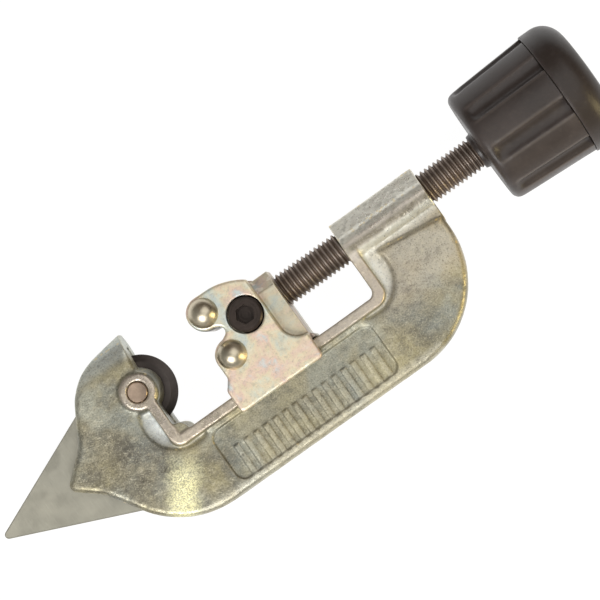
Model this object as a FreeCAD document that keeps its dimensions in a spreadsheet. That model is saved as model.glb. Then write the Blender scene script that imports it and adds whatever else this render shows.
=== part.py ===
import FreeCAD, Part
import math
import os
import re

import Sketcher

# A small pipe cutter with a die-cast C frame, lying on its side.
# +X runs along the feed screw from the cutting wheel to the knob, +Y from the spine to the open
# side of the jaw, +Z across the frame. The origin is the axis of a 15 mm pipe held in the jaw.

os.makedirs("parts", exist_ok=True)
doc = FreeCAD.newDocument("pipe_cutter")

# ---------------------------------------------------------------- driving dimensions (mm, degrees)
DIMENSIONS = {
    "shared": {
        "overrun": 1,
        "fixed_gap": 0.02,
    },
    "cutting wheel and its pin": {
        "wheel_x": -18.25,
        "wheel_radius": 10.75,
        "wheel_edge_half": 0.12,
        "wheel_bevel_radius": 8.7,
        "wheel_disc_half": 1.1,
        "wheel_hub_radius": 5.2,
        "wheel_hub_half": 1.75,
        "wheel_hub_chamfer": 0.7,
        "pin_radius": 3,
        "pin_clearance": 0.05,
        "pin_end_sink": 0.1,
        "pin_end_chamfer": 0.3,
        "pin_head_radius": 4.4,
        "pin_head_height": 1.5,
        "driver_slot_half": 0.55,
        "driver_slot_depth": 0.8,
    },
    "frame thickness, half of each": {
        "plate_half": 8.6,
        "rim_half": 9.5,
        "crescent_half": 7.4,
        "panel_depth": 0.6,
        "wheel_slot_half": 1.95,
        "reamer_slot_half": 1.25,
    },
    "frame outline": {
        "hook_tip_x": -13.85,
        "hook_tip_y": 17.2,
        "crown_x": -31.7,
        "crown_y": 14.25,
        "crown_radius": 19,
        "brow_x": -41.85,
        "brow_y": -3.1,
        "brow_radius": 8,
        "nose_x": -51.55,
        "nose_y": -11.45,
        "nose_radius": 2.2,
        "chin_x": -43.25,
        "chin_y": -18.5,
        "chin_radius": 7,
        "throat_x": -15.25,
        "throat_front_y": -2,
        "heel_x": -28.6,
        "corner_radius": 28.5,
        "spine_bottom_y": -41.3,
        "back_x": 81.95,
        "back_top_y": -9,
        "blend_x": 56.6,
        "blend_y": -5.6,
        "window_x": 53.25,
        "rail_y": -16.8,
        "window_corner_radius": 2.2,
        "edge_radius": 1.9,
        "hook_bevel_low_y": 9.6,
        "hook_bevel_bend_y": 13.8,
        "hook_bevel_bend_half": 7.3,
        "hook_bevel_round": 9,
        "hook_bevel_half": 3.4,
        "hook_bevel_start_x": -8.85,
        "hook_bevel_run": 40,
    },
    "raised rim, crescents, throat bump and panel": {
        "rim_width": 3.3,
        "rim_corner_radius": 4.2,
        "rim_left_top_y": -2.5,
        "rim_right_top_y": -1,
        "crescent_radius": 10.5,
        "crescent_y": -11,
        "crescent_left_x": -12.75,
        "crescent_right_x": 51.05,
        "bump_radius": 3.4,
        "bump_half": 9,
        "panel_left_x": -8.75,
        "panel_right_x": 47.25,
        "panel_top_y": -21.8,
        "panel_bottom_y": -38.4,
        "panel_corner_radius": 3,
        "grip_bar_width": 1.5,
        "grip_bar_half_length": 4.7,
        "grip_bar_height": 0.35,
        "grip_bar_pitch": 3.4,
        "grip_bar_count": 15,
        "grip_bar_start_x": -4.55,
        "grip_bar_y": -33.4,
    },
    "wheel boss": {
        "boss_top_radius": 4.9,
        "boss_shoulder_radius": 6.1,
        "boss_root_radius": 7.1,
        "wheel_slot_radius": 13.3,
    },
    "screw boss": {
        "screw_boss_left_x": 53.45,
        "screw_boss_right_x": 82.25,
        "screw_boss_top_y": 7.3,
        "screw_boss_top_half": 3.2,
        "screw_boss_facet_y": 2.5,
        "screw_boss_side_half": 7.4,
        "screw_boss_roll_radius": 4.9,
        "screw_boss_roll_y": -5.5,
        "screw_boss_foot_y": -10.5,
    },
    "reamer": {
        "reamer_tip_x": -76.85,
        "reamer_tip_y": -11.5,
        "reamer_tip_radius": 1.2,
        "reamer_pivot_x": -33.25,
        "reamer_pivot_y": -20.2,
        "reamer_tail_radius": 9.2,
        "reamer_heel_x": -35.75,
        "reamer_heel_y": 6.16,
        "reamer_waist_x": -35.05,
        "reamer_waist_y": -3,
        "reamer_tail_top_x": -26.01,
        "reamer_tail_top_y": -14.52,
        "reamer_tail_low_x": -36.88,
        "reamer_tail_low_y": -28.65,
        "reamer_slot_end_x": 11.95,
        "reamer_half": 0.95,
        "reamer_edge_chamfer": 0.35,
        "reamer_slot_right_x": -34.45,
        "reamer_slot_top_y": 7.46,
        "reamer_slot_waist_y": -2.8,
        "reamer_slot_knee_x": -27.95,
        "reamer_slot_knee_y": -12,
        "reamer_slot_floor_y": -28.9,
        "reamer_slot_overrun": 8,
        "pivot_radius": 2.5,
        "pivot_head_radius": 4.5,
        "pivot_head_height": 1.6,
        "pivot_head_gap": 0.1,
        "pivot_depth": 6.5,
        "pivot_end_gap": 0.3,
        "spring_washer_radius": 5.6,
        "spring_washer_thickness": 0.6,
        "spring_washer_gap": 0.3,
        "spring_washer_seat_depth": 0.8,
    },
    "carriage": {
        "roller_x": 10.55,
        "roller_y": 7.2,
        "roller_radius": 5.25,
        "roller_half": 9.2,
        "roller_chamfer": 0.5,
        "roller_groove_radius": 4.3,
        "roller_groove_half": 1.3,
        "roller_groove_slope": 0.4,
        "roller_clearance": 0.06,
        "cheek_inner": 9.75,
        "cheek_outer": 12.75,
        "lobe_radius": 5.1,
        "lobe_waist_y": 2.1,
        "notch_x": 11.85,
        "notch_half": 1.45,
        "notch_radius": 1.6,
        "cheek_brow_x": 16.15,
        "cheek_brow_y": 12.1,
        "cheek_brow_radius": 21,
        "cheek_shoulder_x": 26.15,
        "cheek_shoulder_y": 8,
        "cheek_hip_y": -9.6,
        "cheek_hip_radius": 5.6,
        "cheek_back_x": 31.65,
        "cheek_back_y": -14.4,
        "cheek_bottom_y": -22.6,
        "cheek_front_x": 3.15,
        "cheek_front_y": -15,
        "cheek_flare_x": 5.5,
        "cheek_flare_y": -11.9,
        "cheek_corner_radius": 1.4,
        "cheek_edge_radius": 0.8,
        "block_front_x": 16.35,
        "block_back_x": 31.75,
        "block_top_y": 7.1,
        "block_bottom_y": -16.5,
        "block_bevel_y": 2.6,
        "block_bevel_z": 5.4,
        "foot_length": 1.2,
        "foot_toe_height": 0.8,
        "foot_top_y": -14.5,
        "foot_half": 8,
        "half_gap": 0.03,
    },
    "roller rivets": {
        "rivet_radius": 2.5,
        "rivet_head_radius": 4.35,
        "rivet_head_height": 3,
        "rivet_dome_radius": 4.65375,
    },
    "carriage cap screw, M6": {
        "cap_x": 20.2,
        "cap_radius": 3,
        "cap_head_radius": 5.05,
        "cap_head_top": 13.8,
        "cap_head_height": 6,
        "cap_length": 15.5,
        "cap_thread_depth": 10,
        "cap_bore_radius": 5.35,
        "cap_hole_radius": 3.2,
        "cap_socket_flats": 5,
        "cap_socket_depth": 3,
        "cap_head_chamfer": 0.5,
    },
    "feed screw, M10 x 1.5": {
        "screw_radius": 5,
        "screw_bore_radius": 5.06,
        "screw_tip_x": 24.55,
        "screw_tip_end_x": 27.25,
        "screw_neck_radius": 3.5,
        "screw_neck_end_x": 29.8,
        "screw_thread_end_x": 100.1,
        "screw_shank_radius": 4.5,
        "screw_shank_end_x": 121.6,
        "screw_stud_radius": 4,
        "screw_end_x": 129,
        "screw_chamfer": 0.6,
        "tip_pocket_radius": 5.4,
        "tip_pocket_front_x": 23.6,
        "tip_pocket_back_x": 27.45,
        "neck_bore_radius": 3.75,
        "neck_bore_end_x": 29.5,
        "thread_bore_radius": 5.3,
        "thrust_disc_radius": 5.2,
        "thrust_disc_front_x": 23.62,
        "thrust_disc_thickness": 0.85,
    },
    "knob": {
        "knob_collar_x": 100.1,
        "knob_face_x": 101.8,
        "knob_collar_radius": 5.5,
        "knob_face_radius": 16.2,
        "knob_shoulder_x": 103.2,
        "knob_shoulder_radius": 17.9,
        "knob_face_round": 1.2,
        "knob_shoulder_round": 1.5,
        "knob_grip_end_radius": 19.3,
        "knob_joint_x": 128.8,
        "knob_bore_radius": 4.52,
        "knob_cavity_x": 121.8,
        "knob_cavity_radius": 10.6,
        "flute_count": 8,
        "flute_turn": 16,
        "flute_start_x": 104.6,
        "flute_radius": 3.4,
        "flute_axis_low": 20.1,
        "flute_axis_high": 21.1,
        "cap_ring_radius": 19.85,
        "cap_ring_end_x": 133.2,
        "cap_ring_chamfer": 0.3,
        "dome_corner_radius": 6.9,
        "dome_rim_x": 139.4,
        "dome_rim_radius": 12,
        "dome_end_x": 140,
        "dome_crown_radius": 120.3,
        "spigot_x": 125.4,
        "spigot_radius": 10.5,
        "spigot_inner_radius": 8.9,
        "cap_hollow_x": 134,
        "nut_flats": 13,
        "nut_start_x": 123.4,
        "nut_thickness": 4.6,
        "washer_radius": 8.5,
        "washer_thickness": 1.5,
        "washer_gap": 0.1,
    },
}

# ---------------------------------------------------------------- the spreadsheet
sheet = doc.addObject("Spreadsheet::Sheet", "dims")
VALUES = {}
row = 1
for group, members in DIMENSIONS.items():
    sheet.set(f"A{row}", group)
    row += 1
    for alias, number in members.items():
        sheet.set(f"A{row}", alias.replace("_", " "))
        sheet.set(f"B{row}", str(number))
        sheet.setAlias(f"B{row}", alias)
        VALUES[alias] = number
        row += 1
doc.recompute()


def bound(text):
    """The same expression, with each dimension's name pointed at its cell."""
    return re.sub(r"[a-z]\w+", lambda name: f"dims.{name.group()}", text)


def value(text):
    """What a sum of dimensions and plain numbers comes to."""
    total = 0.0
    for sign, term in re.findall(r"([+-]?)\s*([\w.]+)", text):
        number = VALUES[term] if term in VALUES else float(term)
        total += -number if sign == "-" else number
    return total


def drive(obj, **properties):
    """Tie properties to the sheet."""
    for name, text in properties.items():
        obj.setExpression(name, bound(text))


# ---------------------------------------------------------------- bodies, sketches and features
def new_body(name):
    body = doc.addObject("PartDesign::Body", name)
    body.Label = name
    return body


def origin_part(body, role):
    """One of the body's own planes or axes."""
    return next(item for item in body.Origin.OriginFeatures if item.Role == role)


def new_sketch(body, name, plane="XY_Plane", offset=None):
    """A sketch on one of the body's own planes, lifted off it by a dimension."""
    sketch = body.newObject("Sketcher::SketchObject", name)
    sketch.AttachmentSupport = [(origin_part(body, plane), "")]
    sketch.MapMode = "FlatFace"
    if offset:
        sketch.setExpression(".AttachmentOffset.Base.z", bound(offset))
    return sketch


def pin_point(sketch, geometry, end, x, y):
    """Hold one point of the sketch at the place that two expressions give."""
    for kind, text in (("DistanceX", x), ("DistanceY", y)):
        index = sketch.addConstraint(Sketcher.Constraint(kind, -1, 1, geometry, end, value(text)))
        sketch.setExpression(f"Constraints[{index}]", bound(text))


def arc_edge(sketch, centre, radius, start, end, turn):
    """An arc about a centre. It gives the edge and which of its ends is the outline's start and end."""
    first, last = (start, end) if turn > 0 else (end, start)
    begin = math.atan2(first.y - centre.y, first.x - centre.x)
    finish = math.atan2(last.y - centre.y, last.x - centre.x)
    if finish <= begin:
        finish += 2 * math.pi
    ring = Part.Circle(centre, FreeCAD.Vector(0, 0, 1), radius)
    edge = sketch.addGeometry(Part.ArcOfCircle(ring, begin, finish), False)
    return (edge, 1, 2) if turn > 0 else (edge, 2, 1)


def bowed_edge(sketch, start, end, radius_text, turn):
    """An arc of a given radius between two corners; turn is 1 when it runs anticlockwise."""
    radius = value(radius_text)
    chord = end - start
    normal = FreeCAD.Vector(-chord.y, chord.x, 0).normalize() * turn
    centre = (start + end) * 0.5 + normal * math.sqrt(radius ** 2 - (chord.Length / 2) ** 2)
    ends = arc_edge(sketch, centre, radius, start, end, turn)
    hold_radius(sketch, ends[0], radius_text)
    return ends


def hold_radius(sketch, edge, radius_text):
    index = sketch.addConstraint(Sketcher.Constraint("Radius", edge, value(radius_text)))
    sketch.setExpression(f"Constraints[{index}]", bound(radius_text))


def outline(sketch, steps):
    """A closed outline. A step is a sharp corner (x, y), a rounded one (x, y, radius), or
    (x, y, radius, turn) for a sharp corner that a bowed edge leads to."""
    corners = [FreeCAD.Vector(value(step[0]), value(step[1]), 0) for step in steps]
    entries = []
    exits = []
    for index, step in enumerate(steps):
        corner = corners[index]
        if len(step) != 3:
            entries.append(corner)
            exits.append(corner)
            continue
        back = (corners[index - 1] - corner).normalize()
        ahead = (corners[(index + 1) % len(steps)] - corner).normalize()
        reach = value(step[2]) / math.tan(back.getAngle(ahead) / 2)
        entries.append(corner + back * reach)
        exits.append(corner + ahead * reach)

    chain = []
    sides = []
    for index, step in enumerate(steps):
        start = exits[index - 1]
        end = entries[index]
        if len(step) == 4:
            side = bowed_edge(sketch, start, end, step[2], step[3])
        else:
            side = (sketch.addGeometry(Part.LineSegment(start, end), False), 1, 2)
        sides.append(side[0])
        chain.append((*side, False))
        if len(step) == 3:
            corner = corners[index]
            back = (start - corner).normalize()
            ahead = (exits[index] - corner).normalize()
            turn = 1 if back.cross(ahead).z < 0 else -1
            bisector = (back + ahead).normalize()
            centre = corner + bisector * (value(step[2]) / math.sin(back.getAngle(ahead) / 2))
            ends = arc_edge(sketch, centre, value(step[2]), entries[index], exits[index], turn)
            hold_radius(sketch, ends[0], step[2])
            chain.append((*ends, True))

    for index, (edge, start_end, _, rounded) in enumerate(chain):
        before = chain[index - 1]
        kind = "Tangent" if rounded or before[3] else "Coincident"
        sketch.addConstraint(Sketcher.Constraint(kind, before[0], before[2], edge, start_end))
    for index, step in enumerate(steps):
        if len(step) == 3:
            mark = sketch.addGeometry(Part.Point(corners[index]), True)
            pin_point(sketch, mark, 1, step[0], step[1])
            for side in (sides[index], sides[(index + 1) % len(steps)]):
                sketch.addConstraint(Sketcher.Constraint("PointOnObject", mark, 1, side))
        else:
            edge = sides[index]
            end = next(item[2] for item in chain if item[0] == edge)
            pin_point(sketch, edge, end, step[0], step[1])


def circle(sketch, x, y, radius):
    shape = Part.Circle(FreeCAD.Vector(value(x), value(y), 0), FreeCAD.Vector(0, 0, 1), value(radius))
    edge = sketch.addGeometry(shape, False)
    hold_radius(sketch, edge, radius)
    pin_point(sketch, edge, 3, x, y)


def rectangle(sketch, left, right, bottom, top):
    outline(sketch, [(left, bottom), (right, bottom), (right, top), (left, top)])


def extrude(body, kind, name, sketch, length, side="One side", reverse=False):
    feature = body.newObject(f"PartDesign::{kind}", name)
    feature.Profile = sketch
    feature.SideType = side
    feature.Reversed = reverse
    drive(feature, Length=length)
    doc.recompute()
    return feature


def pad(body, name, sketch, length, side="One side", reverse=False):
    return extrude(body, "Pad", name, sketch, length, side, reverse)


def pocket(body, name, sketch, length, side="One side", reverse=False):
    """A pocket that has to take material away, so one that points the wrong way is caught."""
    before = body.Shape.Volume
    feature = extrude(body, "Pocket", name, sketch, length, side, reverse)
    if body.Shape.Volume > before - 1e-6:
        raise RuntimeError(f"{body.Label}: pocket {name} removes nothing")
    return feature


def turn(body, kind, name, sketch, axis):
    """A revolution or groove about the sketch's own H_Axis or V_Axis."""
    feature = body.newObject(f"PartDesign::{kind}", name)
    feature.Profile = sketch
    feature.ReferenceAxis = (sketch, [axis])
    feature.Angle = 360
    doc.recompute()
    return feature


def edges_where(shape, test):
    return [f"Edge{number}" for number, edge in enumerate(shape.Edges, 1) if test(edge)]


def upright_at(x, y):
    """A test for the upright edge that stands at one corner of an outline."""
    def test(edge):
        spots = [vertex.Point for vertex in edge.Vertexes]
        near = all(abs(p.x - value(x)) < 0.02 and abs(p.y - value(y)) < 0.02 for p in spots)
        return len(spots) == 2 and near and abs(spots[0].z - spots[1].z) > 0.1
    return test


def level_at(heights, region=lambda centre: True):
    """A test for edges that lie flat at one of some heights, in a region of the part."""
    def test(edge):
        box = edge.BoundBox
        flat = box.ZLength < 0.01 and any(abs(box.ZMin - height) < 0.01 for height in heights)
        return flat and region(box.Center)
    return test


def dress(body, kind, name, tests, **sizes):
    """A fillet or chamfer on the edges that any of the tests picks."""
    base = body.Tip
    names = edges_where(base.Shape, lambda edge: any(test(edge) for test in tests))
    if not names:
        raise RuntimeError(f"{body.Label}: {name} finds no edge")
    feature = body.newObject(f"PartDesign::{kind}", name)
    feature.Base = (base, names)
    drive(feature, **sizes)
    doc.recompute()
    return feature


# ---------------------------------------------------------------- frame
def make_frame():
    body = new_body("frame")

    plate = new_sketch(body, "plate_outline")
    outline(plate, [
        ("throat_x", "throat_front_y"),
        ("hook_tip_x", "hook_tip_y"),
        ("crown_x", "crown_y", "crown_radius"),
        ("brow_x", "brow_y", "brow_radius"),
        ("nose_x", "nose_y", "nose_radius"),
        ("chin_x", "chin_y", "chin_radius"),
        ("heel_x", "spine_bottom_y", "corner_radius"),
        ("back_x", "spine_bottom_y", "corner_radius"),
        ("back_x", "back_top_y"),
        ("blend_x", "blend_y"),
        ("window_x", "blend_y"),
        ("window_x", "rail_y"),
        ("throat_x", "rail_y"),
    ])
    pad(body, "plate", plate, "2 * plate_half", "Symmetric")
    faces = [value("plate_half"), value("- plate_half")]
    dress(body, "Fillet", "face_edges", [level_at(faces)], Radius="edge_radius")

    bevel = new_sketch(body, "hook_bevel", "YZ_Plane", "hook_bevel_start_x")
    for side in ("", "- "):
        outline(bevel, [
            ("hook_bevel_low_y", f"{side}plate_half"),
            ("hook_bevel_bend_y", f"{side}hook_bevel_bend_half", "hook_bevel_round"),
            ("hook_tip_y", f"{side}hook_bevel_half"),
            ("hook_tip_y + overrun", f"{side}hook_bevel_half"),
            ("hook_tip_y + overrun", f"{side}plate_half"),
        ])
    pocket(body, "hook_bevels", bevel, "hook_bevel_run")

    for name, side in (("crescents_front", 1), ("crescents_rear", -1)):
        hollow = new_sketch(body, name, offset="crescent_half" if side > 0 else "- crescent_half")
        circle(hollow, "crescent_left_x", "crescent_y", "crescent_radius")
        circle(hollow, "crescent_right_x", "crescent_y", "crescent_radius")
        pocket(body, f"{name}_cut", hollow, "plate_half", reverse=side > 0)

    rim = new_sketch(body, "rim_outline")
    outline(rim, [
        ("throat_x", "rim_left_top_y"),
        ("throat_x - rim_width", "rim_left_top_y"),
        ("throat_x - rim_width", "rail_y - rim_width", "rim_corner_radius"),
        ("window_x + rim_width", "rail_y - rim_width", "rim_corner_radius"),
        ("window_x + rim_width", "rim_right_top_y"),
        ("window_x", "rim_right_top_y"),
        ("window_x", "rail_y"),
        ("throat_x", "rail_y"),
    ])
    pad(body, "rim", rim, "2 * rim_half", "Symmetric")

    bump = new_sketch(body, "throat_bump")
    circle(bump, "throat_x", "rail_y", "bump_radius")
    pad(body, "bump", bump, "2 * bump_half", "Symmetric")
    corner = upright_at("window_x", "rail_y")
    dress(body, "Fillet", "window_corner", [corner], Radius="window_corner_radius")

    barrel = new_sketch(body, "screw_boss_section", "YZ_Plane", "screw_boss_left_x")
    outline(barrel, [
        ("screw_boss_foot_y", "- screw_boss_side_half"),
        ("screw_boss_roll_y", "- screw_boss_side_half"),
        ("screw_boss_facet_y", "- screw_boss_side_half", "screw_boss_roll_radius", 1),
        ("screw_boss_top_y", "- screw_boss_top_half"),
        ("screw_boss_top_y", "screw_boss_top_half"),
        ("screw_boss_facet_y", "screw_boss_side_half"),
        ("screw_boss_roll_y", "screw_boss_side_half", "screw_boss_roll_radius", 1),
        ("screw_boss_foot_y", "screw_boss_side_half"),
    ])
    pad(body, "screw_boss", barrel, "screw_boss_right_x - screw_boss_left_x")

    boss = new_sketch(body, "wheel_boss_section", "XZ_Plane")
    outline(boss, [
        ("wheel_x", "- rim_half"),
        ("wheel_x + boss_top_radius", "- rim_half"),
        ("wheel_x + boss_shoulder_radius", "- plate_half"),
        ("wheel_x + boss_root_radius", "- wheel_slot_half"),
        ("wheel_x + boss_root_radius", "wheel_slot_half"),
        ("wheel_x + boss_shoulder_radius", "plate_half"),
        ("wheel_x + boss_top_radius", "rim_half"),
        ("wheel_x", "rim_half"),
    ])
    turn_about_wheel(body, boss, "wheel_boss")

    slot = new_sketch(body, "wheel_slot_outline")
    circle(slot, "wheel_x", "0", "wheel_slot_radius")
    pocket(body, "wheel_slot", slot, "2 * wheel_slot_half", "Symmetric")

    hollow = new_sketch(body, "reamer_slot_outline")
    outline(hollow, [
        ("reamer_slot_right_x", "reamer_slot_top_y"),
        ("nose_x - reamer_slot_overrun", "reamer_slot_top_y"),
        ("nose_x - reamer_slot_overrun", "spine_bottom_y - reamer_slot_overrun"),
        ("reamer_slot_end_x", "spine_bottom_y - reamer_slot_overrun"),
        ("reamer_slot_end_x", "reamer_slot_floor_y"),
        ("reamer_slot_knee_x", "reamer_slot_knee_y"),
        ("reamer_slot_right_x", "reamer_slot_waist_y"),
    ])
    pocket(body, "reamer_slot", hollow, "2 * reamer_slot_half", "Symmetric")

    seat = new_sketch(body, "spring_washer_seat", offset="- reamer_slot_half")
    circle(seat, "reamer_pivot_x", "reamer_pivot_y", "spring_washer_radius + spring_washer_gap")
    pocket(body, "spring_washer_recess", seat, "spring_washer_seat_depth")

    pivot = new_sketch(body, "pivot_hole", offset="- plate_half - overrun")
    circle(pivot, "reamer_pivot_x", "reamer_pivot_y", "pivot_radius + fixed_gap")
    pocket(body, "pivot_bore", pivot, "plate_half + overrun + pivot_depth", reverse=True)
    sink = new_sketch(body, "pivot_head_seat", offset="- plate_half")
    circle(sink, "reamer_pivot_x", "reamer_pivot_y", "pivot_head_radius + pivot_head_gap")
    pocket(body, "pivot_counterbore", sink, "pivot_head_height", reverse=True)

    bore = new_sketch(body, "screw_bore_outline", "YZ_Plane", "screw_boss_left_x - overrun")
    circle(bore, "0", "0", "screw_bore_radius")
    length = "screw_boss_right_x - screw_boss_left_x + 2 * overrun"
    pocket(body, "screw_bore", bore, length, reverse=True)

    hole = new_sketch(body, "wheel_pin_hole")
    circle(hole, "wheel_x", "0", "pin_radius + pin_clearance")
    pocket(body, "wheel_pin_bore", hole, "2 * rim_half + 2 * overrun", "Symmetric")

    for name, side in (("panel_front", 1), ("panel_rear", -1)):
        sign = "" if side > 0 else "- "
        recess = new_sketch(body, name, offset=f"{sign}plate_half")
        rectangle(recess, "panel_left_x", "panel_right_x", "panel_bottom_y", "panel_top_y")
        pocket(body, f"{name}_recess", recess, "panel_depth", reverse=side < 0)
        corners = [
            upright_at(x, y)
            for x in ("panel_left_x", "panel_right_x")
            for y in ("panel_bottom_y", "panel_top_y")
        ]
        dress(body, "Fillet", f"{name}_corners", corners, Radius="panel_corner_radius")

        floor = "plate_half - panel_depth" if side > 0 else "panel_depth - plate_half"
        bar = new_sketch(body, f"{name}_bar", offset=floor)
        rectangle(
            bar,
            "grip_bar_start_x",
            "grip_bar_start_x + grip_bar_width",
            "grip_bar_y - grip_bar_half_length",
            "grip_bar_y + grip_bar_half_length",
        )
        first = pad(body, f"{name}_first_bar", bar, "grip_bar_height", reverse=side < 0)
        bars = body.newObject("PartDesign::LinearPattern", f"{name}_bars")
        bars.Originals = [first]
        bars.Direction = (origin_part(body, "X_Axis"), [""])
        drive(bars, Length="(grip_bar_count - 1) * grip_bar_pitch", Occurrences="grip_bar_count")
        body.Tip = bars
        doc.recompute()
    return body


def turn_about_wheel(body, sketch, name):
    """Revolve a section, drawn on the XZ plane, about the wheel's own axis."""
    return turn(body, "Revolution", name, sketch, sketch_axis(sketch, "wheel_x"))


def section_about_screw(name, steps):
    """A body turned about the feed screw's axis from a half section on the XY plane."""
    body = new_body(name)
    section = new_sketch(body, f"{name}_section")
    outline(section, steps)
    turn(body, "Revolution", f"{name}_turned", section, "H_Axis")
    return body


def post(body, name, x, y, radius, low, length):
    """A round post, standing up from a level."""
    base = new_sketch(body, f"{name}_circle", offset=low)
    circle(base, x, y, radius)
    return pad(body, name, base, length)


# ---------------------------------------------------------------- cutting wheel and its pin
def make_cutting_wheel():
    body = new_body("cutting_wheel")
    section = new_sketch(body, "wheel_section", "XZ_Plane")
    outline(section, [
        ("wheel_x + pin_radius + pin_clearance", "- wheel_hub_half"),
        ("wheel_x + wheel_hub_radius", "- wheel_hub_half"),
        ("wheel_x + wheel_hub_radius + wheel_hub_chamfer", "- wheel_disc_half"),
        ("wheel_x + wheel_bevel_radius", "- wheel_disc_half"),
        ("wheel_x + wheel_radius", "- wheel_edge_half"),
        ("wheel_x + wheel_radius", "wheel_edge_half"),
        ("wheel_x + wheel_bevel_radius", "wheel_disc_half"),
        ("wheel_x + wheel_hub_radius + wheel_hub_chamfer", "wheel_disc_half"),
        ("wheel_x + wheel_hub_radius", "wheel_hub_half"),
        ("wheel_x + pin_radius + pin_clearance", "wheel_hub_half"),
    ])
    turn_about_wheel(body, section, "wheel")
    return body


def slotted_head(body, name, x, y, low, radius, height):
    """A low round head on the rear of the frame with a screwdriver slot across it."""
    post(body, name, x, y, radius, low, height)
    cut = new_sketch(body, f"{name}_slot", offset=low)
    left = f"{x} - {radius} - overrun"
    right = f"{x} + {radius} + overrun"
    rectangle(cut, left, right, f"{y} - driver_slot_half", f"{y} + driver_slot_half")
    pocket(body, f"{name}_slot_cut", cut, "driver_slot_depth", reverse=True)


def make_wheel_pin():
    body = new_body("wheel_pin")
    post(body, "pin", "wheel_x", "0", "pin_radius", "- rim_half", "2 * rim_half - pin_end_sink")
    low = "- rim_half - pin_head_height"
    slotted_head(body, "pin_head", "wheel_x", "0", low, "pin_head_radius", "pin_head_height")
    near_end = value("rim_half - pin_end_sink")
    dress(body, "Chamfer", "pin_chamfer", [level_at([near_end])], Size="pin_end_chamfer")
    return body


# ---------------------------------------------------------------- reamer
def make_reamer_blade():
    body = new_body("reamer_blade")
    shape = new_sketch(body, "blade_outline", offset="- reamer_half")
    outline(shape, [
        ("reamer_tip_x", "reamer_tip_y", "reamer_tip_radius"),
        ("reamer_tail_low_x", "reamer_tail_low_y"),
        ("reamer_tail_top_x", "reamer_tail_top_y", "reamer_tail_radius", 1),
        ("reamer_waist_x", "reamer_waist_y"),
        ("reamer_heel_x", "reamer_heel_y", "reamer_tip_radius"),
    ])
    pad(body, "blade", shape, "2 * reamer_half")
    ground = level_at([value("reamer_half"), value("- reamer_half")], lambda c: c.x < value("brow_x"))
    dress(body, "Chamfer", "ground_edges", [ground], Size="reamer_edge_chamfer")
    hole = new_sketch(body, "pivot_hole")
    circle(hole, "reamer_pivot_x", "reamer_pivot_y", "pivot_radius + pin_clearance")
    pocket(body, "pivot_bore", hole, "4 * reamer_half", "Symmetric")
    return body


def make_reamer_pivot():
    body = new_body("reamer_pivot_screw")
    x = "reamer_pivot_x"
    y = "reamer_pivot_y"
    low = "- plate_half"
    post(body, "shank", x, y, "pivot_radius", low, "plate_half + pivot_depth - pivot_end_gap")
    slotted_head(body, "head", x, y, low, "pivot_head_radius", "pivot_head_height")
    return body


def make_spring_washer():
    """The wave washer that holds the reamer where it is put, drawn flattened as it is when fitted."""
    body = new_body("reamer_spring_washer")
    x = "reamer_pivot_x"
    y = "reamer_pivot_y"
    low = "- reamer_slot_half - spring_washer_thickness"
    post(body, "disc", x, y, "spring_washer_radius", low, "spring_washer_thickness")
    hole = new_sketch(body, "hole", offset="- reamer_slot_half")
    circle(hole, x, y, "pivot_radius + pin_clearance")
    pocket(body, "bore", hole, "spring_washer_thickness + overrun")
    return body


# ---------------------------------------------------------------- carriage
def cheek_steps():
    return [
        ("cheek_front_x", "cheek_bottom_y", "cheek_corner_radius"),
        ("cheek_back_x", "cheek_bottom_y", "cheek_corner_radius"),
        ("cheek_back_x", "cheek_back_y"),
        ("cheek_shoulder_x", "cheek_hip_y", "cheek_hip_radius", -1),
        ("cheek_shoulder_x", "cheek_shoulder_y"),
        ("cheek_brow_x", "cheek_brow_y", "cheek_brow_radius", 1),
        ("roller_x", "roller_y + lobe_radius"),
        ("roller_x - lobe_radius", "roller_y", "lobe_radius", 1),
        ("roller_x", "lobe_waist_y", "lobe_radius", 1),
        ("notch_x", "notch_half"),
        ("notch_x", "- notch_half", "notch_radius", -1),
        ("roller_x", "- lobe_waist_y"),
        ("roller_x - lobe_radius", "- roller_y", "lobe_radius", 1),
        ("cheek_flare_x", "cheek_flare_y", "cheek_corner_radius"),
        ("cheek_front_x", "cheek_front_y", "cheek_corner_radius"),
    ]


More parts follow.
